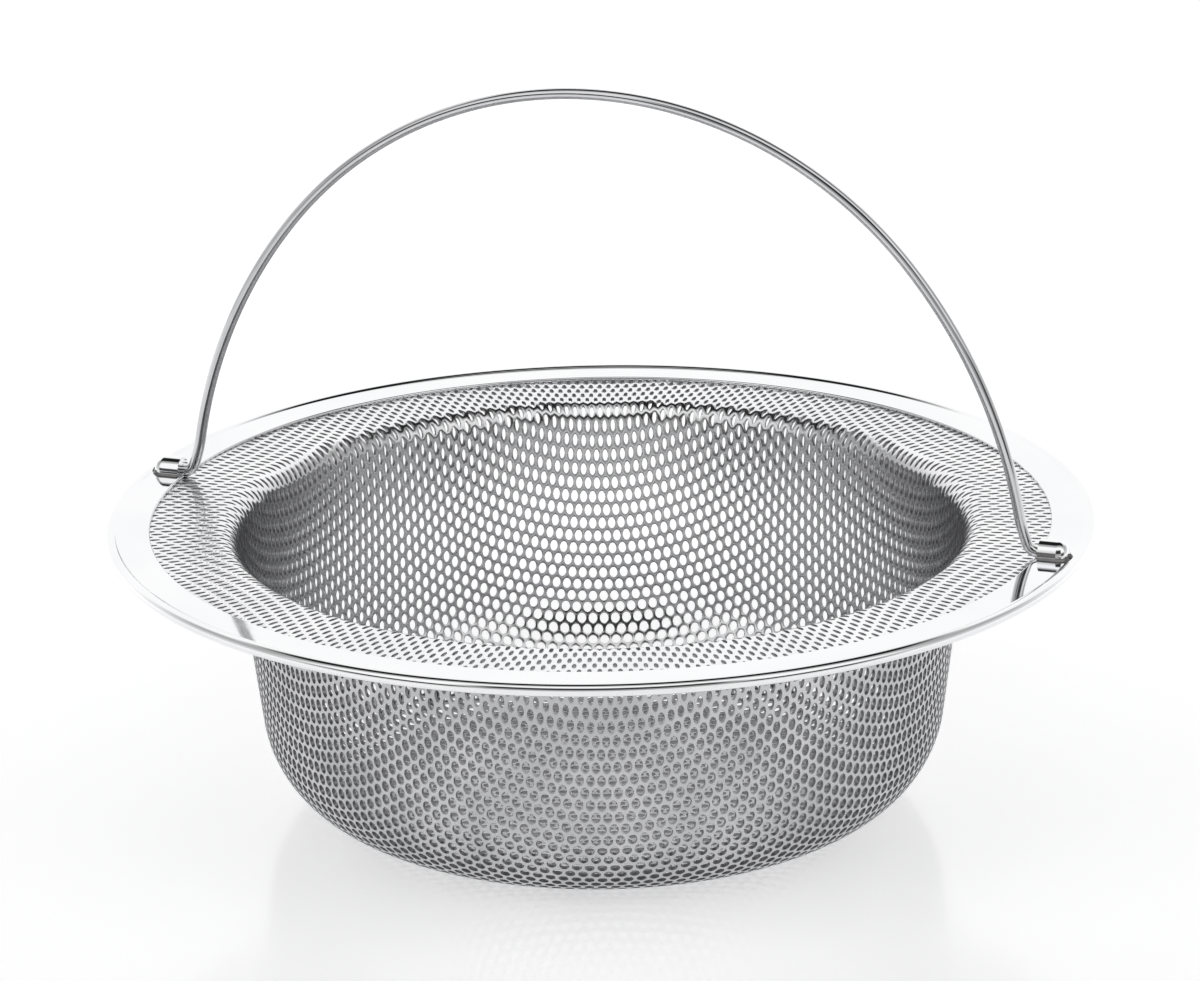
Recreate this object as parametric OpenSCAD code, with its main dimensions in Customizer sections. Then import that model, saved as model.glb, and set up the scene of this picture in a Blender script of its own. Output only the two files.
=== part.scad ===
// Kitchen sink basket strainer: a drawn sheet basket with a flat flange, a polished rim
// ring folded round the flange's edge, and a wire bail that swings in two pivot lugs and
// folds flat onto the flange, either way. The sheet is drawn without its perforations.
// The origin is the centre of the floor's underside, +Z is up, and the bail turns about
// a line parallel to X.

/* [Rim] */
// Outside diameter over the rolled edge
rim_d = 135; // [130:0.5:140]
// Width of the ring, from its hole to its outside
ring_width = 6.1; // [5.8:0.1:6.5]
// Thickness of the ring's sheet
ring_t = 0.5; // [0.4:0.05:0.6]
// Radius of the rolled edge's section
bead_r = 0.85; // [0.8:0.01:0.9]
// Height of the rolled edge's crest above the flat of the ring
bead_rise = 0.3; // [0.25:0.01:0.35]
// Radius of the hollow blend between the flat and the rolled edge
blend_r = 0.5; // [0.2:0.1:0.8]
// Width of the lip folded back under the flange
lip_width = 2; // [1.5:0.1:4]

/* [Basket] */
// Depth from the flat of the ring to the floor's underside
basket_depth = 40.9; // [34:0.1:50]
// Thickness of the perforated sheet
sheet_t = 0.5; // [0.4:0.05:0.6]
// Diameter of the flat part of the floor
floor_d = 64; // [54:0.5:74]
// Slope of the wall from the vertical, in degrees
wall_taper = 7.1; // [3:0.1:12]
// Outside radius of the corner between the floor and the wall
corner_r = 15; // [8:0.5:18]
// Radius of the shoulder between the wall and the flange, on the inside of the basket
shoulder_r = 3; // [2:0.25:5]

/* [Pivots] */
// Outside radius of a lug's barrel
lug_r = 1.9; // [1.7:0.05:2.1]
// Distance from the ring's hole to the lug's open inner end
lug_setback = 0.5; // [0.3:0.05:0.8]
// Length of a lug along the pivot line
lug_len = 3.9; // [3.6:0.05:4]
// Radius of the rounding on the lug's closed outer end
lug_round_r = 1.4; // [1:0.05:1.6]
// Depth of the lug's bore
bore_depth = 3.1; // [2.9:0.05:3.3]
// Radial clearance of the wire in the bore
bore_clear = 0.05; // [0.02:0.01:0.09]
// Height and width of the weld round a lug's foot
weld_leg = 0.3; // [0.2:0.05:0.4]
// Radius of the tack of weld at a lug's outer end
tack_r = 0.45; // [0.4:0.05:0.6]

/* [Bail] */
// Diameter of the wire
wire_d = 1.5; // [1.3:0.05:1.6]
// Gap between the flange and the wire folded flat above it
wire_lift = 0.1; // [0.05:0.01:0.2]
// Height of the arch above the pivot line, to the wire's centre line
bail_h = 58.5; // [57:0.1:62]
// Length of each wire end that sits inside its lug
pin_len = 2.8; // [2.2:0.1:3]
// Straight wire between a lug's open end and the foot's bend
mouth_gap = 0.33; // [0.2:0.01:0.6]
// Radius of the bend that turns each foot outward
foot_r = 1.6; // [1.3:0.1:2]
// Lean of the wire above that bend, in degrees from the vertical
leg_lean = 21; // [18:0.5:30]
// Lean of the wire where the leg sways into the arch, in degrees from the vertical
arch_lean = 10; // [8.5:0.5:12]
// Radius of the arch's two flanks
flank_r = 70; // [67:0.5:72]
// Direction in which each flank meets the crown, in degrees from the horizontal
crown_angle = 40; // [30:1:55]

/* [Hidden] */
$fn = 96;

satin_steel = "#b4b6ba";
bright_steel = "#e2e4e7";
wire_steel = "#d2d4d8";
weld_steel = "#7f8186";

rim_r = rim_d / 2;
hole_r = rim_r - ring_width;
wire_r = wire_d / 2;
bore_r = wire_r + bore_clear;

// Levels
ring_top = basket_depth;
flange_top = ring_top - ring_t;
flange_bottom = flange_top - sheet_t;
pivot_z = flange_top + wire_lift + wire_r;

// Ring: the rolled edge's centre, and the centre of the hollow blend beside it
bead_x = rim_r - bead_r;
bead_z = ring_top + bead_rise - bead_r;
bead_bottom = bead_z - bead_r;
blend_x = bead_x - sqrt(pow(bead_r + blend_r, 2) - pow(ring_top + blend_r - bead_z, 2));
blend_z = ring_top + blend_r;
touch = bead_r / (bead_r + blend_r);
touch_x = bead_x + (blend_x - bead_x) * touch;
touch_z = bead_z + (blend_z - bead_z) * touch;
slot_r = bead_x - 0.65;
flange_r = slot_r - 0.05;

// Basket: the wall is straight, and tangent to the corner and to the shoulder
floor_r = floor_d / 2;
under_r = shoulder_r - sheet_t;
shoulder_z = flange_bottom - under_r;
wall_len = (shoulder_z + under_r * sin(wall_taper) - corner_r * (1 - sin(wall_taper)))
    / cos(wall_taper);
shoulder_x = floor_r + (corner_r + under_r) * cos(wall_taper) + wall_len * sin(wall_taper);

// Lugs: the foot's half width on the ring, and the weld's own barrel, whose axis lies
// below the ring so that its surface slopes where it meets the ring
lug_x0 = hole_r + lug_setback;
lug_x1 = lug_x0 + lug_len;
bore_end = lug_x0 + bore_depth;
pivot_rise = pivot_z - ring_top;
foot_half = sqrt(pow(lug_r, 2) - pow(pivot_rise, 2));
weld_top_half = sqrt(pow(lug_r, 2) - pow(pivot_rise - weld_leg, 2));
weld_drop = (pow(foot_half + weld_leg, 2) - pow(weld_top_half, 2) - pow(weld_leg, 2))
    / (2 * weld_leg);
weld_r = sqrt(pow(foot_half + weld_leg, 2) + pow(weld_drop, 2));

// Bail, in its own plane with the pivot line at zero height: a foot's bend, the leg's
// sway, a flank and the crown, every one an arc tangent to the next. The sway's radius
// brings the crown to its height, and the crown's radius centres it.
foot_x = lug_x0 - mouth_gap;
pin_end = lug_x0 + pin_len;
crown_slope = (1 - sin(crown_angle)) / cos(crown_angle);
foot_c = [foot_x, foot_r];
lean = [cos(leg_lean), sin(leg_lean)];
flank_dir = [cos(arch_lean), sin(arch_lean)];
base_c = foot_c - foot_r * lean - flank_r * flank_dir;
sway_step = lean - flank_dir;
sway_r = (bail_h - flank_r - base_c[1] - base_c[0] * crown_slope)
    / (sway_step[1] + sway_step[0] * crown_slope);
sway_c = foot_c + (sway_r - foot_r) * lean;
flank_c = base_c + sway_r * sway_step;
crown_r = flank_r + flank_c[0] / cos(crown_angle);

// Part of a flat annulus about the origin, from direction a0 to direction a1, under a
// half turn
module sector(r_in, r_out, a0, a1) {
    far = 2 * r_out;
    intersection() {
        difference() {
            circle(r_out);
            circle(r_in);
        }
        rotate(a0)
            translate([-far, 0])
                square([2 * far, far]);
        rotate(a1)
            translate([-far, -far])
                square([2 * far, far]);
    }
}

// Floor, corner, wall, shoulder and flange, each drawn in the frame of the one before
module basket_section() {
    square([floor_r, sheet_t]);
    translate([floor_r, corner_r]) {
        sector(corner_r - sheet_t, corner_r, -90, -wall_taper);
        rotate(-wall_taper) {
            translate([corner_r - sheet_t, 0])
                square([sheet_t, wall_len]);
            translate([corner_r + under_r, wall_len]) {
                sector(under_r, shoulder_r, 90 + wall_taper, 180);
                rotate(wall_taper)
                    translate([0, under_r])
                        square([flange_r - shoulder_x, sheet_t]);
            }
        }
    }
}

// Flat band with the hollow blend that rises from it onto the rolled edge
module band_section() {
    inner = hole_r + ring_t / 2;
    translate([inner, flange_top + ring_t / 2])
        circle(ring_t / 2);
    difference() {
        polygon([
            [inner, flange_top],
            [bead_x, flange_top],
            [bead_x, bead_z],
            [touch_x, touch_z],
            [blend_x, ring_top],
            [inner, ring_top]
        ]);
        translate([blend_x, blend_z])
            circle(blend_r);
    }
}

// Lip folded back under the flange, with a rounded edge
module lip_section() {
    lip_t = flange_bottom - bead_bottom;
    lip_x = bead_x - lip_width;
    translate([lip_x, bead_bottom])
        square([lip_width, lip_t]);
    translate([lip_x, bead_bottom + lip_t / 2])
        circle(lip_t / 2);
}

module ring_section() {
    band_section();
    lip_section();
    difference() {
        translate([bead_x, bead_z])
            circle(bead_r);
        translate([slot_r - 1, flange_bottom])
            square([1, sheet_t]);
    }
}

// Half of a lug's lengthwise section: a bar with one rounded end, along X
module bar_section(x0, x1, r, end_r) {
    translate([x0, 0])
        square([x1 - end_r - x0, r]);
    translate([x1 - end_r, 0])
        square([end_r, r - end_r]);
    translate([x1 - end_r, r - end_r])
        intersection() {
            circle(end_r);
            square(end_r);
        }
}

// Bar with one rounded end, along X at height z
module bar(x0, x1, r, end_r, z) {
    translate([0, 0, z])
        rotate([0, 90, 0])
            rotate_extrude()
                mirror([1, -1])
                    bar_section(x0, x1, r, end_r);
}

// Slab over the ring's flat at the right-hand pivot, h thick
module over_ring(h) {
    translate([hole_r - 2, -5, ring_top])
        cube([ring_width + 4, 10, h]);
}

// Outside of the right-hand lug, before its bore
module lug_form() {
    intersection() {
        bar(lug_x0, lug_x1, lug_r, lug_round_r, pivot_z);
        over_ring(2 * lug_r);
    }
}

module ring_form() {
    rotate_extrude()
        ring_section();
}

// Right-hand lug: half a barrel standing on the ring, open at its inner end
module lug() {
    difference() {
        lug_form();
        translate([lug_x0 - 1, 0, pivot_z])
            rotate([0, 90, 0])
                cylinder(h = bore_depth + 1, r = bore_r);
    }
}

// Right-hand weld: a thin sloping bead round the lug's foot, and a tack at its end
module weld() {
    difference() {
        union() {
            intersection() {
                bar(lug_x0, lug_x1 + weld_leg, weld_r, lug_round_r, ring_top - weld_drop);
                over_ring(weld_leg);
            }
            translate([lug_x1 + 0.1, 0, ring_top + 0.1])
                sphere(tack_r);
        }
        lug_form();
        ring_form();
    }
}

// Moves its children by v, in a rounded step and a small remainder
module shift(v) {
    step = [for (x = v) round(100 * x) / 100];
    translate(step)
        translate(v - step)
            children();
}

// Bend of the wire about c in the bail's plane, from direction a0 to direction a1
module bend(c, r, a0, a1) {
    shift([c[0], 0, c[1]])
        rotate([90, 0, 0])
            rotate_extrude(angle = a1 - a0, start = a0)
                shift([r, 0])
                    circle(wire_r);
}

// Right-hand side of the bail, from the wire's end in its lug up to the crown
module bail_side() {
    translate([foot_x, 0, 0])
        rotate([0, 90, 0])
            cylinder(h = pin_end - foot_x, r = wire_r);
    bend(foot_c, foot_r, 180 + leg_lean, 270);
    bend(sway_c, sway_r, 180 + arch_lean, 180 + leg_lean);
    bend(flank_c, flank_r, arch_lean, crown_angle);
}

module strainer_basket() {
    color(satin_steel)
        rotate_extrude()
            basket_section();
}

module rim_ring() {
    color(bright_steel)
        difference() {
            ring_form();
            for (side = [0, 1])
                mirror([side, 0, 0])
                    translate([hole_r - 1, -bore_r, flange_top - 0.01])
                        cube([bore_end - hole_r + 1, 2 * bore_r, ring_t + 0.02]);
        }
}

module pivot_lug_right() {
    color(bright_steel)
        lug();
}

module pivot_lug_left() {
    color(bright_steel)
        mirror([1, 0, 0])
            lug();
}

module pivot_weld_right() {
    color(weld_steel)
        weld();
}

module pivot_weld_left() {
    color(weld_steel)
        mirror([1, 0, 0])
            weld();
}

module bail_handle() {
    color(wire_steel)
        translate([0, 0, pivot_z]) {
            bend([0, bail_h - crown_r], crown_r, crown_angle, 180 - crown_angle);
            for (side = [0, 1])
                mirror([side, 0, 0])
                    bail_side();
        }
}

strainer_basket();
rim_ring();
pivot_lug_left();
pivot_lug_right();
pivot_weld_left();
pivot_weld_right();
bail_handle();
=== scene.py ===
import math

import bpy
import numpy as np
from mathutils import Matrix, Vector


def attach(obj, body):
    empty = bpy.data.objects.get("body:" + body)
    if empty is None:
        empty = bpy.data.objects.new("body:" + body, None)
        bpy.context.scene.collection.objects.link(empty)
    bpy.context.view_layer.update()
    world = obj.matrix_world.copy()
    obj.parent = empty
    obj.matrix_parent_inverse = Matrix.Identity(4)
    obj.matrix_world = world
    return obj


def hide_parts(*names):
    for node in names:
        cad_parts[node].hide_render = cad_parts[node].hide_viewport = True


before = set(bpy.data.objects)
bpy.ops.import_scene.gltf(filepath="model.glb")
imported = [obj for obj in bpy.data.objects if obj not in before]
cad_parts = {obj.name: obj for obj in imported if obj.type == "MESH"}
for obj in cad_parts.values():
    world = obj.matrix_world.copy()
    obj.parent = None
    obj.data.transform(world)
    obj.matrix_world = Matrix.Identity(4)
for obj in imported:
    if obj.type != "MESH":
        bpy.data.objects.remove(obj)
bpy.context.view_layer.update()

MM = 0.001

# Basket sheet (mm): its thickness, and the sizes of its mid-surface
SHEET = 0.5
FLOOR_R = 32.0
CORNER_R = 14.75
TAPER = math.radians(7.1)
SHOULDER_R = 2.75
FLANGE_Z = 40.15
SHEET_R = 65.9
# The wall is straight, and tangent to the corner and to the shoulder
CORNER_C = (FLOOR_R, SHEET / 2 + CORNER_R)
SHOULDER_Z = FLANGE_Z - SHOULDER_R
BOTH_R = CORNER_R + SHOULDER_R
WALL_LEN = (SHOULDER_Z - CORNER_C[1] + BOTH_R * math.sin(TAPER)) / math.cos(TAPER)
SHOULDER_C = (FLOOR_R + BOTH_R * math.cos(TAPER) + WALL_LEN * math.sin(TAPER), SHOULDER_Z)
# Samples along the floor, corner, wall, shoulder and flange
PROFILE_STEPS = (400, 500, 400, 300, 300)

# Perforations in the flat blank (mm), each in a hexagonal cell
PITCH = 1.75
HOLE_R = 0.66
LATTICE_OFFSET = (0.31, 0.17)
LATTICE_MARGIN = 3
CELL_SIDES = 12
# Neighbouring cells share the corners that meet on a grid of this many steps per millimetre
CORNER_GRID = 2000
# A cell that reaches less than this inside the blank's edge is left out (mm)
SLIVER = 0.02
# How far the normals at a hole's edge lean into the hole
PUNCH_TILT = 0.22
# What the drawing does to a hole, by flat radius: its scale, and its width round the axis
STRAIN_R = (40.0, 50.0, 64.0, 69.0, 73.5)
HOLE_SCALE = (1.0, 1.06, 1.06, 0.97, 0.94)
HOOP_SCALE = (1.0, 1.0, 1.0, 0.80, 0.64)
# Zones of the sheet, each up to a flat radius (mm)
ZONES = (("sheet_floor", 42.3), ("sheet_wall_low", 59.8), ("sheet_wall_high", 73.3),
         ("sheet_flange", math.inf))
# Materials of a zone's inner face, outer face and hole walls
FACE, OUTSIDE, PUNCHED = 0, 1, 2

# Rim ring (mm): plate with a rounded inner edge, blended into a bead whose lip grips the sheet in a slot
RIM_R = 67.5
RING_UNDER = FLANGE_Z + SHEET / 2
RING_Z = 40.9
RING_EDGE_C = (61.65, 40.65)
RING_EDGE_R = 0.25
BEAD_R = 0.85
BEAD_C = (RIM_R - BEAD_R, 40.35)
BLEND_R = 0.5
BLEND_Z = RING_Z + BLEND_R
BLEND_C = (BEAD_C[0] - math.sqrt((BEAD_R + BLEND_R) ** 2 - (BLEND_Z - BEAD_C[1]) ** 2), BLEND_Z)
LIP_IN = 64.65
LIP_TOP = FLANGE_Z - SHEET / 2
LIP_UNDER = BEAD_C[1] - BEAD_R
SLOT_R = 66.0
NOTCH_Y = 0.8
NOTCH_X = 65.0
HALF_RING_STEPS = 320

# Bail (mm): pivot line, wire, pin, foot, height over the pivot line, and the leans between arcs (degrees)
PIVOT_Z = 41.25
WIRE_R = 0.75
WIRE_SIDES = 40
PIN_OUT = 64.7
PIN_STEPS = 6
FOOT_X = 61.57
FOOT_R = 1.6
BAIL_H = 58.5
LEG_LEAN = 21
ARCH_LEAN = 10
FLANK_R = 70.0
CROWN_ANGLE = 40
ARC_STEPS = (20, 14, 40, 60)
# A point closer than this to the one before is left out
SHORTEST_STEP = 0.02

# Table top, just clear of the basket's underside (m)
TABLE_HALF = 4.0
TABLE_Z = -0.00002

# Camera: where it stands round the rim's centre and what it aims at (m), its lens and sensor (mm)
VIEW_AZ = math.radians(19.3)
VIEW_EL = math.radians(18.95)
VIEW_ROLL = math.radians(1.0)
VIEW_DIST = 0.7425
RIM_CENTRE = Vector((0, 0, RING_Z * MM))
AIM = Vector((0, 0, 0.0441))
LENS = 163.1
SENSOR = 36.0
FAR_CLIP = 50.0

# Room light, as pairs of a place and its brightness
# Skirt and walls: the place goes round from the camera's side, 0, to the back, 1
SKIRT_BANDS = ((0.0, 0.40), (0.155, 0.40), (0.19, 0.06), (0.31, 0.06), (0.40, 0.60), (0.60, 0.62),
               (0.74, 1.0), (1.0, 1.0))
WALL_BANDS = ((0.0, 0.03), (0.15, 0.04), (0.21, 1.0), (0.38, 1.0), (0.46, 0.42), (0.62, 0.42),
              (0.74, 1.0), (1.0, 1.0))
# Ceiling: the place goes overhead instead, so 0.5 is straight up
CEILING_BANDS = ((0.0, 0.6), (0.16, 1.0), (0.40, 1.0), (0.45, 0.42), (0.505, 0.40), (0.53, 0.012),
                 (0.775, 0.012), (0.84, 1.0), (1.0, 1.0))
CEILING_SIDES = (0.5, 0.51, 0.54, 1.0)
# Where one meets the next, as the direction's upward part, or its sideways part for the ceiling's sides
SKIRT_TO_WALL = (0.29, 0.37)
WALL_TO_CEILING = (0.70, 0.80)
CEILING_TO_SIDES = (0.6, 0.95)
ROOM_STRENGTH = 1.05


# ---------------------------------------------------------------- shader helpers

def noise(tree, scale, detail, stretch=None):
    """Noise in object space; stretch scales each axis first."""
    coord = tree.nodes.new("ShaderNodeTexCoord")
    node = tree.nodes.new("ShaderNodeTexNoise")
    node.inputs["Scale"].default_value = scale
    node.inputs["Detail"].default_value = detail
    source = coord.outputs["Object"]
    if stretch:
        mapping = tree.nodes.new("ShaderNodeMapping")
        mapping.inputs["Scale"].default_value = stretch
        tree.links.new(source, mapping.inputs["Vector"])
        source = mapping.outputs["Vector"]
    tree.links.new(source, node.inputs["Vector"])
    return node.outputs["Fac"]


def ramp(tree, value, stops):
    """Colour by value; stops are (position, (red, green, blue))."""
    node = tree.nodes.new("ShaderNodeValToRGB")
    elements = node.color_ramp.elements
    while len(elements) < len(stops):
        elements.new(0.5)
    for element, (position, colour) in zip(elements, stops):
        element.position = position
        element.color = (*colour, 1.0)
    tree.links.new(value, node.inputs["Fac"])
    return node.outputs["Color"]


def remap(tree, value, span, result):
    """Value over span, low to high, as a value over result, clamped at both ends."""
    node = tree.nodes.new("ShaderNodeMapRange")
    node.inputs["From Min"].default_value = span[0]
    node.inputs["From Max"].default_value = span[1]
    node.inputs["To Min"].default_value = result[0]
    node.inputs["To Max"].default_value = result[1]
    tree.links.new(value, node.inputs["Value"])
    return node.outputs["Result"]


def painted_shade_below(tree, colour, heights, share):
    """Colour scaled by share under the lower of two heights (m), and as it is over the upper: painted shade
    low down.
    """
    coord = tree.nodes.new("ShaderNodeTexCoord")
    split = tree.nodes.new("ShaderNodeSeparateXYZ")
    tree.links.new(coord.outputs["Object"], split.inputs["Vector"])
    scaled = tree.nodes.new("ShaderNodeVectorMath")
    scaled.operation = "SCALE"
    tree.links.new(colour, scaled.inputs[0])
    tree.links.new(remap(tree, split.outputs["Z"], heights, (share, 1.0)), scaled.inputs["Scale"])
    return scaled.outputs["Vector"]


def bump(tree, shader, height, distance, strength):
    """Raises the surface by height times distance (m), in its shading only."""
    node = tree.nodes.new("ShaderNodeBump")
    node.inputs["Distance"].default_value = distance
    node.inputs["Strength"].default_value = strength
    tree.links.new(height, node.inputs["Height"])
    tree.links.new(node.outputs["Normal"], shader.inputs["Normal"])


# ---------------------------------------------------------------- materials

def new_material(name, dark, light, tone_noise):
    """A material whose tone wanders between dark and light."""
    material = bpy.data.materials.new(name)
    material.use_nodes = True
    tree = material.node_tree
    shader = tree.nodes["Principled BSDF"]
    tone = ramp(tree, noise(tree, *tone_noise), ((0.3, dark), (0.7, light)))
    tree.links.new(tone, shader.inputs["Base Color"])
    return material, tree, shader, tone


def steel(name, dark, light, tone_noise, gloss, gloss_noise, grain_noise, grain_height, grain_strength,
          gloss_span=(0.3, 0.7), inside_shade=None):
    """Bare steel: tone and roughness wander, and a fine grain lies in the surface (its height in m).

    Each noise is its scale and detail, and a stretch where the marks run one way. inside_shade says below
    which heights the tone is darkened, as painted shade."""
    material, tree, shader, tone = new_material(name, dark, light, tone_noise)
    # Painted shade: the tone is darkened below the given heights.
    if inside_shade:
        tree.links.new(painted_shade_below(tree, tone, **inside_shade), shader.inputs["Base Color"])
    shader.inputs["Metallic"].default_value = 1.0
    rough = remap(tree, noise(tree, *gloss_noise), gloss_span, gloss)
    tree.links.new(rough, shader.inputs["Roughness"])
    bump(tree, shader, noise(tree, *grain_noise), grain_height, grain_strength)
    return material


def sheet_material():
    """Inner and upper face of the sheet: rolling marks and handling smears, with painted shade darkening it
    down inside the basket.
    """
    return steel(
        "basket_sheet", dark=(0.83, 0.835, 0.85), light=(0.92, 0.92, 0.93), tone_noise=(70.0, 3.0),
        gloss=(0.13, 0.21), gloss_noise=(160.0, 4.0),
        grain_noise=(1500.0, 2.0), grain_height=0.00001, grain_strength=0.35,
        # Painted shade: the inner face at 72% of its tone below 38.5 mm, at full tone from 40.2 mm.
        inside_shade={"heights": (0.0385, 0.0402), "share": 0.72})


def outside_material():
    """Outer face of the drawn sheet: its duller gloss is left by the drawing, and its darker tone is
    painted shade.
    """
    # Painted shade: the outer face's tone is set well below the inner face's.
    return steel(
        "basket_outside_painted_shade", dark=(0.50, 0.505, 0.52), light=(0.62, 0.62, 0.635), tone_noise=(90.0, 3.0),
        gloss=(0.20, 0.32), gloss_noise=(240.0, 4.0),
        grain_noise=(1200.0, 2.0), grain_height=0.00002, grain_strength=0.35)


def punched_material():
    """Sheared wall of each perforation, dark partly for its rough sheared metal and partly as painted shade
    inside the hole.
    """
    # Painted shade in part: the hole walls are much darker than the sheet.
    return steel(
        "punched_edge_and_shade", dark=(0.30, 0.30, 0.31), light=(0.44, 0.44, 0.45), tone_noise=(900.0, 3.0),
        gloss=(0.35, 0.5), gloss_noise=(700.0, 4.0),
        grain_noise=(3000.0, 2.0), grain_height=0.00002, grain_strength=0.35)


def rim_material():
    """Mirror-polished steel with a hint of buffing haze."""
    return steel(
        "rim_steel", dark=(0.88, 0.885, 0.895), light=(0.93, 0.93, 0.94), tone_noise=(45.0, 2.0),
        gloss=(0.035, 0.085), gloss_noise=(220.0, 4.0), gloss_span=(0.35, 0.75),
        grain_noise=(300.0, 2.0), grain_height=0.00001, grain_strength=0.15)


def wire_material():
    """Polished drawn wire with fine lengthwise draw marks."""
    marks = (900.0, 3.0, (0.25, 2.0, 0.25))
    return steel(
        "wire_steel", dark=(0.60, 0.605, 0.62), light=(0.72, 0.72, 0.73), tone_noise=(90.0, 3.0),
        gloss=(0.06, 0.14), gloss_noise=marks, gloss_span=(0.35, 0.7),
        grain_noise=marks, grain_height=0.00001, grain_strength=0.25)


def weld_material():
    """Rippled weld metal in a dark tone with a faint warm cast."""
    return steel(
        "weld_steel", dark=(0.15, 0.15, 0.16), light=(0.27, 0.26, 0.25), tone_noise=(700.0, 3.0),
        gloss=(0.25, 0.40), gloss_noise=(700.0, 3.0),
        grain_noise=(2600.0, 2.0), grain_height=0.00004, grain_strength=0.5)


def table_material():
    """Plain pale table top with a faint soft gloss and a lift of its own, as if lit from below."""
    material, _, shader, _ = new_material(
        "floor", dark=(0.93, 0.93, 0.94), light=(0.95, 0.95, 0.955), tone_noise=(3.0, 2.0))
    shader.inputs["Roughness"].default_value = 0.14
    shader.inputs["Specular IOR Level"].default_value = 0.5
    shader.inputs["Emission Color"].default_value = (1.0, 1.0, 1.0, 1.0)
    shader.inputs["Emission Strength"].default_value = 0.42
    return material


# ---------------------------------------------------------------- meshes

def mesh_object(name, verts, faces, loop_normals):
    """A smooth object from points in metres, with its own normal at each corner of each face."""
    mesh = bpy.data.meshes.new(name)
    mesh.from_pydata(verts.tolist(), [], faces)
    mesh.polygons.foreach_set("use_smooth", np.full(len(mesh.polygons), True))
    mesh.normals_split_custom_set(loop_normals)
    mesh.update()
    piece = bpy.data.objects.new(name, mesh)
    bpy.context.scene.collection.objects.link(piece)
    return piece


def unit(vectors):
    """The vectors at length 1."""
    return vectors / np.linalg.norm(vectors, axis=-1, keepdims=True)


# ---------------------------------------------------------------- basket sheet

def sheet_profile():
    """The sheet's mid-surface, as arrays of flat radius, radius, height and the inner normal's tilt.

    The flat radius is that of the blank that the basket is drawn from, with the area kept."""
    floor_n, corner_n, wall_n, shoulder_n, flange_n = PROFILE_STEPS
    floor = np.linspace(0.0, CORNER_C[0], floor_n, endpoint=False)
    corner = np.linspace(-math.pi / 2, -TAPER, corner_n, endpoint=False)
    wall = np.linspace(0.0, WALL_LEN, wall_n, endpoint=False)
    shoulder = np.linspace(math.pi - TAPER, math.pi / 2, shoulder_n, endpoint=False)
    flange = np.linspace(SHOULDER_C[0], SHEET_R, flange_n)
    foot_r = CORNER_C[0] + CORNER_R * math.cos(TAPER)
    foot_z = CORNER_C[1] - CORNER_R * math.sin(TAPER)
    radius = np.concatenate([
        floor,
        CORNER_C[0] + CORNER_R * np.cos(corner),
        foot_r + wall * math.sin(TAPER),
        SHOULDER_C[0] + SHOULDER_R * np.cos(shoulder),
        flange])
    height = np.concatenate([
        np.full(floor_n, CORNER_C[1] - CORNER_R),
        CORNER_C[1] + CORNER_R * np.sin(corner),
        foot_z + wall * math.cos(TAPER),
        SHOULDER_C[1] + SHOULDER_R * np.sin(shoulder),
        np.full(flange_n, FLANGE_Z)])
    tilt = np.concatenate([
        np.full(floor_n, math.pi / 2),
        corner + math.pi,
        np.full(wall_n, math.pi - TAPER),
        shoulder,
        np.full(flange_n, math.pi / 2)])
    step = np.hypot(np.diff(radius), np.diff(height))
    area = np.concatenate([[0.0], np.cumsum((radius[1:] + radius[:-1]) * step)])
    return np.sqrt(area), radius, height, tilt


def drawn(flat, profile):
    """Points of the blank (mm) as mid-surface points and unit normals on the inner side.

    The lattice's rows are turned to lie across the camera's view."""
    flat_radius, radius, height, tilt = profile
    from_axis = np.hypot(flat[..., 0], flat[..., 1])
    around = np.arctan2(flat[..., 1], flat[..., 0]) + VIEW_AZ
    r = np.interp(from_axis, flat_radius, radius)
    z = np.interp(from_axis, flat_radius, height)
    t = np.interp(from_axis, flat_radius, tilt)
    point = np.stack([r * np.cos(around), r * np.sin(around), z], axis=-1)
    normal = np.stack([np.cos(t) * np.cos(around), np.cos(t) * np.sin(around), np.sin(t)], axis=-1)
    return point, normal


def lattice_cells(limit):
    """Centres of the hexagonal cells whose corners reach inside the blank."""
    row = PITCH * math.sqrt(3) / 2
    count = int(limit / row) + LATTICE_MARGIN
    i, j = np.meshgrid(np.arange(-count, count + 1), np.arange(-count, count + 1))
    x = (i + 0.5 * (j % 2)) * PITCH + LATTICE_OFFSET[0]
    y = j * row + LATTICE_OFFSET[1]
    centre = np.stack([x.ravel(), y.ravel()], axis=-1)
    return centre[np.hypot(centre[:, 0], centre[:, 1]) < limit + PITCH]


def cell_outline():
    """Corners and edge middles of one hexagonal cell, and the points of its hole, in the flat."""
    side = np.arange(CELL_SIDES)
    angle = side * 2 * math.pi / CELL_SIDES
    reach = np.where(side % 2 == 0, PITCH / 2, PITCH / math.sqrt(3))
    direction = np.stack([np.cos(angle), np.sin(angle)], axis=-1)
    return direction * reach[:, None], direction * HOLE_R


def strained(cells, hole):
    """The hole's outline in each cell, as the drawing leaves it."""
    far = np.hypot(cells[:, 0], cells[:, 1])
    radial = cells / far[:, None]
    hoop = np.stack([-radial[:, 1], radial[:, 0]], axis=-1)
    lost = 1.0 - np.interp(far, STRAIN_R, HOOP_SCALE)
    scale = np.interp(far, STRAIN_R, HOLE_SCALE)
    along = hoop @ hole.T
    shape = hole[None] - (lost[:, None] * along)[..., None] * hoop[:, None, :]
    return shape * scale[:, None, None]


def shared_corners(cells, outline, limit):
    """The distinct corners of all the cells, kept inside the blank, and each cell's own by number."""
    flat = (cells[:, None, :] + outline[None]).reshape(-1, 2)
    key = np.round(flat * CORNER_GRID).astype(np.int64)
    _, first, number = np.unique(key, axis=0, return_index=True, return_inverse=True)
    corner = flat[first]
    far = np.hypot(corner[:, 0], corner[:, 1])
    return corner * np.minimum(1.0, limit / far)[:, None], number.reshape(-1, CELL_SIDES)


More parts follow.
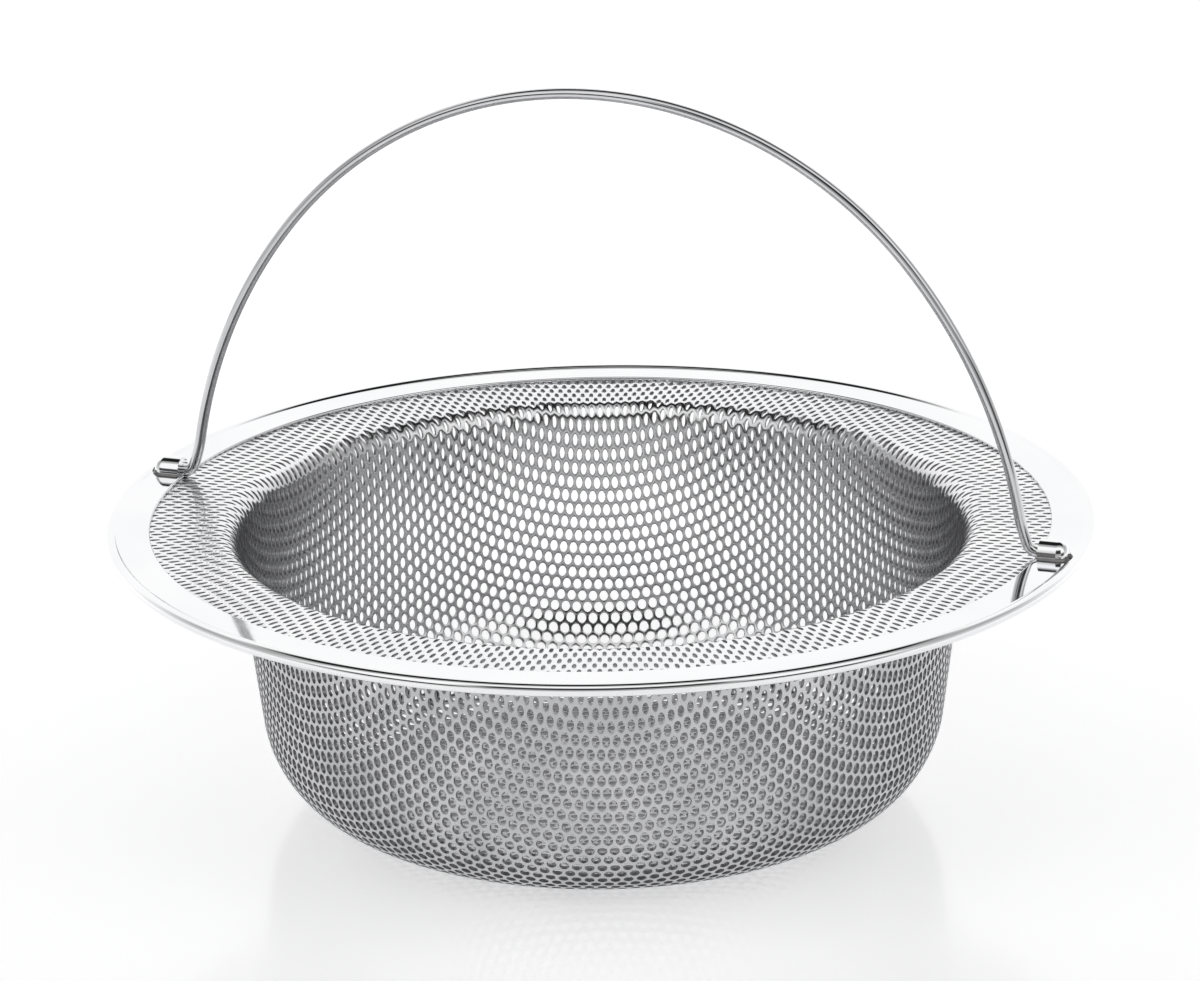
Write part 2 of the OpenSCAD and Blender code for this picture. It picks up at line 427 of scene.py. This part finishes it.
def open_edges(ring):
    """Cell edges that no neighbouring cell shares."""
    edges = [(cell[k], cell[(k + 1) % CELL_SIDES]) for cell in ring.tolist() for k in range(CELL_SIDES)]
    known = set(edges)
    return [(p, q) for p, q in edges if (q, p) not in known]


def zone_mesh(name, cells, solid, profile):
    """One closed zone of the perforated sheet. solid marks the cells left without a hole."""
    outline, hole = cell_outline()
    corners, ring = shared_corners(cells, outline, limit=profile[0][-1])
    corner_p, corner_n = drawn(corners, profile)
    pierced = cells[~solid]
    hole_p, hole_n = drawn(pierced[:, None, :] + strained(pierced, hole), profile)
    centre_p, _ = drawn(pierced, profile)

    inward = centre_p[:, None, :] - hole_p
    inward = unit(inward - hole_n * np.sum(inward * hole_n, axis=-1, keepdims=True))
    upper_n = unit(hole_n + inward * PUNCH_TILT).reshape(-1, 3)
    lower_n = unit(inward * PUNCH_TILT - hole_n).reshape(-1, 3)
    wall_n = inward.reshape(-1, 3)

    half = SHEET / 2
    verts = MM * np.concatenate([
        corner_p + corner_n * half, corner_p - corner_n * half,
        (hole_p + hole_n * half).reshape(-1, 3), (hole_p - hole_n * half).reshape(-1, 3)])
    under = len(corners)
    upper = 2 * len(corners)
    lower = upper + len(wall_n)

    corner = ring[~solid]
    next_corner = np.roll(corner, -1, axis=1)
    edge = np.arange(len(wall_n)).reshape(-1, CELL_SIDES)
    next_edge = np.roll(edge, -1, axis=1)
    sides = (
        (FACE, (corner, next_corner, upper + next_edge, upper + edge),
         (corner_n[corner], corner_n[next_corner], upper_n[next_edge], upper_n[edge])),
        (OUTSIDE, (next_corner + under, corner + under, lower + edge, lower + next_edge),
         (-corner_n[next_corner], -corner_n[corner], lower_n[edge], lower_n[next_edge])),
        (PUNCHED, (upper + edge, upper + next_edge, lower + next_edge, lower + edge),
         (wall_n[edge], wall_n[next_edge], wall_n[next_edge], wall_n[edge])))
    faces, kinds, normals = [], [], []
    for kind, points, point_normals in sides:
        quads = np.stack(points, axis=-1).reshape(-1, 4)
        faces += quads.tolist()
        kinds += [kind] * len(quads)
        normals.append(np.stack(point_normals, axis=2).reshape(-1, 3))
    for cell in ring[solid]:
        faces += [cell.tolist(), (cell[::-1] + under).tolist()]
        kinds += [FACE, OUTSIDE]
        normals += [corner_n[cell], -corner_n[cell[::-1]]]
    for p, q in open_edges(ring):
        faces.append([q, p, p + under, q + under])
        kinds.append(PUNCHED)
        normals.append(np.tile(unit(np.cross(verts[q] - verts[p], corner_n[p])), (4, 1)))
    piece = mesh_object(name, verts, faces, np.concatenate(normals).tolist())
    piece.data.polygons.foreach_set("material_index", kinds)
    return piece


def perforated_basket(materials):
    """The drawn perforated sheet, in closed zones from the floor to the flange."""
    profile = sheet_profile()
    limit = profile[0][-1]
    outline, _ = cell_outline()
    cells = lattice_cells(limit)
    reach = np.hypot(*np.moveaxis(cells[:, None, :] + outline[None], -1, 0))
    inside = reach.min(axis=1) < limit - SLIVER
    cells = cells[inside]
    solid = reach[inside].max(axis=1) >= limit
    far = np.hypot(cells[:, 0], cells[:, 1])
    inner = 0.0
    for name, outer in ZONES:
        mask = (far >= inner) & (far < outer)
        piece = zone_mesh(name, cells[mask], solid[mask], profile)
        for material in materials:
            piece.data.materials.append(material)
        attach(piece, "strainer")
        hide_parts("strainer_basket")
        inner = outer


# ---------------------------------------------------------------- rim ring

def arc(centre, radius, start, end, count):
    """Points and outward normals on an arc; angles in degrees."""
    angle = np.radians(np.linspace(start, end, count))
    outward = np.stack([np.cos(angle), np.sin(angle)], axis=-1)
    return np.array(centre) + radius * outward, outward


def line(start, end, normal, count):
    """Points on a straight stretch, and its normal at each."""
    share = np.linspace(0.0, 1.0, count)[:, None]
    points = np.array(start) * (1 - share) + np.array(end) * share
    return points, np.tile(np.array(normal, dtype=float), (count, 1))


def ring_profile():
    """The ring's closed section, as strips of points and outward normals, from its inner edge over."""
    lean = math.degrees(math.atan2(BLEND_C[1] - BEAD_C[1], BEAD_C[0] - BLEND_C[0]))
    lip_r = (LIP_TOP - LIP_UNDER) / 2
    lip_x = LIP_IN + lip_r
    edge_x = RING_EDGE_C[0]
    blend, from_blend_centre = arc(BLEND_C, BLEND_R, 270, 360 - lean, 10)
    return [
        arc(RING_EDGE_C, RING_EDGE_R, 270, 90, 13),
        line((edge_x, RING_Z), (NOTCH_X, RING_Z), (0, 1), 7),
        line((NOTCH_X, RING_Z), (BLEND_C[0], RING_Z), (0, 1), 3),
        (blend, -from_blend_centre),
        arc(BEAD_C, BEAD_R, 180 - lean, -90, 34),
        line((BEAD_C[0], LIP_UNDER), (lip_x, LIP_UNDER), (0, -1), 3),
        arc((lip_x, (LIP_TOP + LIP_UNDER) / 2), lip_r, 270, 90, 9),
        line((lip_x, LIP_TOP), (SLOT_R, LIP_TOP), (0, 1), 3),
        line((SLOT_R, LIP_TOP), (SLOT_R, RING_UNDER), (-1, 0), 2),
        line((SLOT_R, RING_UNDER), (NOTCH_X, RING_UNDER), (0, -1), 2),
        line((NOTCH_X, RING_UNDER), (edge_x, RING_UNDER), (0, -1), 5),
    ]


def ring_columns():
    """Each section's angle round the ring, and whether it bounds one of the two notches on the X axis."""
    lean = math.asin(NOTCH_Y / NOTCH_X)
    angles = np.linspace(lean, math.pi - lean, HALF_RING_STEPS + 1)
    far_half = [(angle, i in (0, HALF_RING_STEPS)) for i, angle in enumerate(angles)]
    return far_half + [(angle + math.pi, bounds) for angle, bounds in far_half]


def ring_point(angle, bounds_notch, r, z):
    """A point of the section, moved onto the notch's flat wall where the section bounds a notch."""
    if bounds_notch and r <= NOTCH_X:
        y = math.copysign(NOTCH_Y, math.sin(angle))
        return math.copysign(math.sqrt(r * r - y * y), math.cos(angle)), y, z
    return r * math.cos(angle), r * math.sin(angle), z


def rim_ring(material):
    """The polished ring with its rolled edge, with a notch for each foot of the wire."""
    strips = ring_profile()
    rows, first = [], []
    for points, _ in strips:
        first.append(len(rows))
        rows += [tuple(point) for point in points[:-1]]
    row_n = len(rows)
    columns = ring_columns()
    column_n = len(columns)
    verts = [ring_point(*column, *row) for column in columns for row in rows]
    before_notch = (HALF_RING_STEPS, column_n - 1)
    notch_strips = (0, 1, len(strips) - 1)

    faces, loops = [], []
    for here in range(column_n):
        there = (here + 1) % column_n
        for strip, (points, normals) in enumerate(strips):
            if here in before_notch and strip in notch_strips:
                continue
            for k in range(len(points) - 1):
                row = first[strip] + k
                next_row = (row + 1) % row_n
                faces.append((here * row_n + row, here * row_n + next_row,
                              there * row_n + next_row, there * row_n + row))
                for column, point in ((here, k), (here, k + 1), (there, k + 1), (there, k)):
                    angle = columns[column][0]
                    out, up = normals[point]
                    loops.append((out * math.cos(angle), out * math.sin(angle), up))

    top_end, low_end = first[2], first[-1]
    section = list(range(low_end, row_n)) + list(range(top_end + 1))
    for here in before_notch:
        there = (here + 1) % column_n
        facing = -1.0 if here == HALF_RING_STEPS else 1.0
        faces.append([here * row_n + row for row in section])
        loops += [(0.0, facing, 0.0)] * len(section)
        faces.append([there * row_n + row for row in reversed(section)])
        loops += [(0.0, -facing, 0.0)] * len(section)
        faces.append((here * row_n + top_end, here * row_n + low_end,
                      there * row_n + low_end, there * row_n + top_end))
        loops += [(-facing, 0.0, 0.0)] * 4
    piece = mesh_object("rim_polished", np.array(verts) * MM, faces, loops)
    piece.data.materials.append(material)
    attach(piece, "strainer")
    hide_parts("rim_ring")


# ---------------------------------------------------------------- bail

def direction(degrees):
    """The unit vector at this angle in the XZ plane."""
    return np.array([math.cos(math.radians(degrees)), math.sin(math.radians(degrees))])


def bail_arcs():
    """Arcs from the right foot to the crown, each tangent to the next: centre, radius, start and end angle.

    The sway's radius brings the crown to its height, and the crown's radius centres it."""
    foot_c = np.array([FOOT_X, FOOT_R])
    leg, flank = direction(LEG_LEAN), direction(ARCH_LEAN)
    crown_cos, crown_sin = direction(CROWN_ANGLE)
    slope = (1 - crown_sin) / crown_cos
    base_c = foot_c - FOOT_R * leg - FLANK_R * flank
    sway_step = leg - flank
    sway_r = (BAIL_H - FLANK_R - base_c[1] - base_c[0] * slope) / (sway_step[1] + sway_step[0] * slope)
    flank_c = base_c + sway_r * sway_step
    crown_r = FLANK_R + flank_c[0] / crown_cos
    return (
        (foot_c, FOOT_R, 270, 180 + LEG_LEAN),
        (foot_c + (sway_r - FOOT_R) * leg, sway_r, 180 + LEG_LEAN, 180 + ARCH_LEAN),
        (flank_c, FLANK_R, ARCH_LEAN, CROWN_ANGLE),
        ((0.0, BAIL_H - crown_r), crown_r, CROWN_ANGLE, 90))


def wire_centreline():
    """The bail's centreline in the XZ plane, as (point, unit tangent), from the right pin to the left."""
    right = [((x, 0.0), (-1.0, 0.0)) for x in np.linspace(PIN_OUT, FOOT_X, PIN_STEPS)]
    for ((centre_x, centre_z), radius, start, end), steps in zip(bail_arcs(), ARC_STEPS):
        sense = 1 if end > start else -1
        for angle in np.radians(np.linspace(start, end, steps)):
            c, s = math.cos(angle), math.sin(angle)
            right.append(((centre_x + radius * c, centre_z + radius * s), (-sense * s, sense * c)))
    left = [((-x, z), (tx, -tz)) for (x, z), (tx, tz) in reversed(right[:-1])]
    path = right[:1]
    for point, tangent in right[1:] + left:
        if math.dist(point, path[-1][0]) > SHORTEST_STEP:
            path.append((point, tangent))
    return path


def bail(material):
    """The bent wire, swept round its arcs."""
    path = wire_centreline()
    verts, normals = [], []
    for (x, z), (tx, tz) in path:
        for angle in np.arange(WIRE_SIDES) * 2 * math.pi / WIRE_SIDES:
            normal = (-tz * math.cos(angle), math.sin(angle), tx * math.cos(angle))
            verts.append((x + WIRE_R * normal[0], WIRE_R * normal[1], PIVOT_Z + z + WIRE_R * normal[2]))
            normals.append(normal)
    faces, loops = [], []
    for i in range(len(path) - 1):
        here, there = i * WIRE_SIDES, (i + 1) * WIRE_SIDES
        for k in range(WIRE_SIDES):
            next_k = (k + 1) % WIRE_SIDES
            quad = (here + k, there + k, there + next_k, here + next_k)
            faces.append(quad)
            loops += [normals[v] for v in quad]
    last = (len(path) - 1) * WIRE_SIDES
    faces.append(tuple(range(WIRE_SIDES)))
    loops += [(1.0, 0.0, 0.0)] * WIRE_SIDES
    faces.append(tuple(last + k for k in reversed(range(WIRE_SIDES))))
    loops += [(-1.0, 0.0, 0.0)] * WIRE_SIDES
    piece = mesh_object("bail_wire", np.array(verts) * MM, faces, loops)
    piece.data.materials.append(material)
    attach(piece, "bail")
    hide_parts("bail_handle")


# ---------------------------------------------------------------- lugs and welds

def finish_cad_node(name, material):
    """Gives a CAD node that stays in view its own material."""
    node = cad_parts[name]
    node.data.materials.clear()
    node.data.materials.append(material)


# ---------------------------------------------------------------- stage, light and camera

def table_top():
    """A plain level surface under the object, which isn't part of it."""
    mesh = bpy.data.meshes.new("table_top")
    corners = [(x * TABLE_HALF, y * TABLE_HALF, TABLE_Z) for x, y in ((-1, -1), (1, -1), (1, 1), (-1, 1))]
    mesh.from_pydata(corners, [], [(0, 1, 2, 3)])
    mesh.materials.append(table_material())
    table = bpy.data.objects.new("table_top", mesh)
    bpy.context.scene.collection.objects.link(table)


def studio_light():
    """A pale room, with light by direction: dark over the camera, low beside it and behind the zenith."""
    world = bpy.data.worlds.new("studio")
    bpy.context.scene.world = world
    world.use_nodes = True
    tree = world.node_tree
    background = tree.nodes["Background"]
    direction = tree.nodes.new("ShaderNodeTexCoord").outputs["Generated"]

    def part_along(axis):
        """How much of the direction is along the axis, from -1 to 1."""
        node = tree.nodes.new("ShaderNodeVectorMath")
        node.operation = "DOT_PRODUCT"
        node.inputs[1].default_value = axis
        tree.links.new(direction, node.inputs[0])
        return node.outputs["Value"]

    def math_node(operation, *values):
        node = tree.nodes.new("ShaderNodeMath")
        node.operation = operation
        for value, socket in zip(values, node.inputs):
            tree.links.new(value, socket)
        return node.outputs["Value"]

    def bands(across, along, stops):
        """Brightness by the turn away from along, towards across, as a share of half a turn."""
        share = remap(tree, math_node("ARCTAN2", across, along), (0.0, math.pi), (0.0, 1.0))
        return ramp(tree, share, [(position, (tone, tone, tone)) for position, tone in stops])

    def mixed(value, span, first, second):
        """Goes from first to second, which may be a plain colour, as value crosses span."""
        node = tree.nodes.new("ShaderNodeMix")
        node.data_type = "RGBA"
        tree.links.new(remap(tree, value, span, (0.0, 1.0)), node.inputs["Factor"])
        tree.links.new(first, node.inputs["A"])
        if isinstance(second, tuple):
            node.inputs["B"].default_value = second
        else:
            tree.links.new(second, node.inputs["B"])
        return node.outputs["Result"]

    front = part_along((math.sin(VIEW_AZ), -math.cos(VIEW_AZ), 0.0))
    side = math_node("ABSOLUTE", part_along((math.cos(VIEW_AZ), math.sin(VIEW_AZ), 0.0)))
    up = part_along((0.0, 0.0, 1.0))
    walls = mixed(up, SKIRT_TO_WALL, bands(side, front, SKIRT_BANDS), bands(side, front, WALL_BANDS))
    ceiling = mixed(side, CEILING_TO_SIDES, bands(up, front, CEILING_BANDS), CEILING_SIDES)
    room = mixed(up, WALL_TO_CEILING, walls, ceiling)
    tree.links.new(room, background.inputs["Color"])
    background.inputs["Strength"].default_value = ROOM_STRENGTH


def photo_camera():
    """Looks at the object from the photograph's side, rolled a little."""
    data = bpy.data.cameras.new("photo_camera")
    data.lens = LENS
    data.sensor_width = SENSOR
    data.clip_end = FAR_CLIP
    camera = bpy.data.objects.new("photo_camera", data)
    bpy.context.scene.collection.objects.link(camera)
    place = RIM_CENTRE + VIEW_DIST * Vector((
        math.sin(VIEW_AZ) * math.cos(VIEW_EL), -math.cos(VIEW_AZ) * math.cos(VIEW_EL), math.sin(VIEW_EL)))
    ahead = (AIM - place).normalized()
    right = ahead.cross(Vector((0, 0, 1))).normalized()
    above = right.cross(ahead)
    c, s = math.cos(VIEW_ROLL), math.sin(VIEW_ROLL)
    x_axis = right * c - above * s
    y_axis = above * c + right * s
    camera.matrix_world = Matrix((x_axis, y_axis, -ahead)).transposed().to_4x4()
    camera.matrix_world.translation = place
    bpy.context.scene.camera = camera


photo_camera()
table_top()
studio_light()
bpy.context.scene.view_settings.view_transform = "Standard"

rim_steel = rim_material()
weld_steel = weld_material()
perforated_basket((sheet_material(), outside_material(), punched_material()))
rim_ring(rim_steel)
bail(wire_material())
for side in ("left", "right"):
    finish_cad_node("pivot_lug_" + side, rim_steel)
    finish_cad_node("pivot_weld_" + side, weld_steel)

bpy.context.view_layer.update()
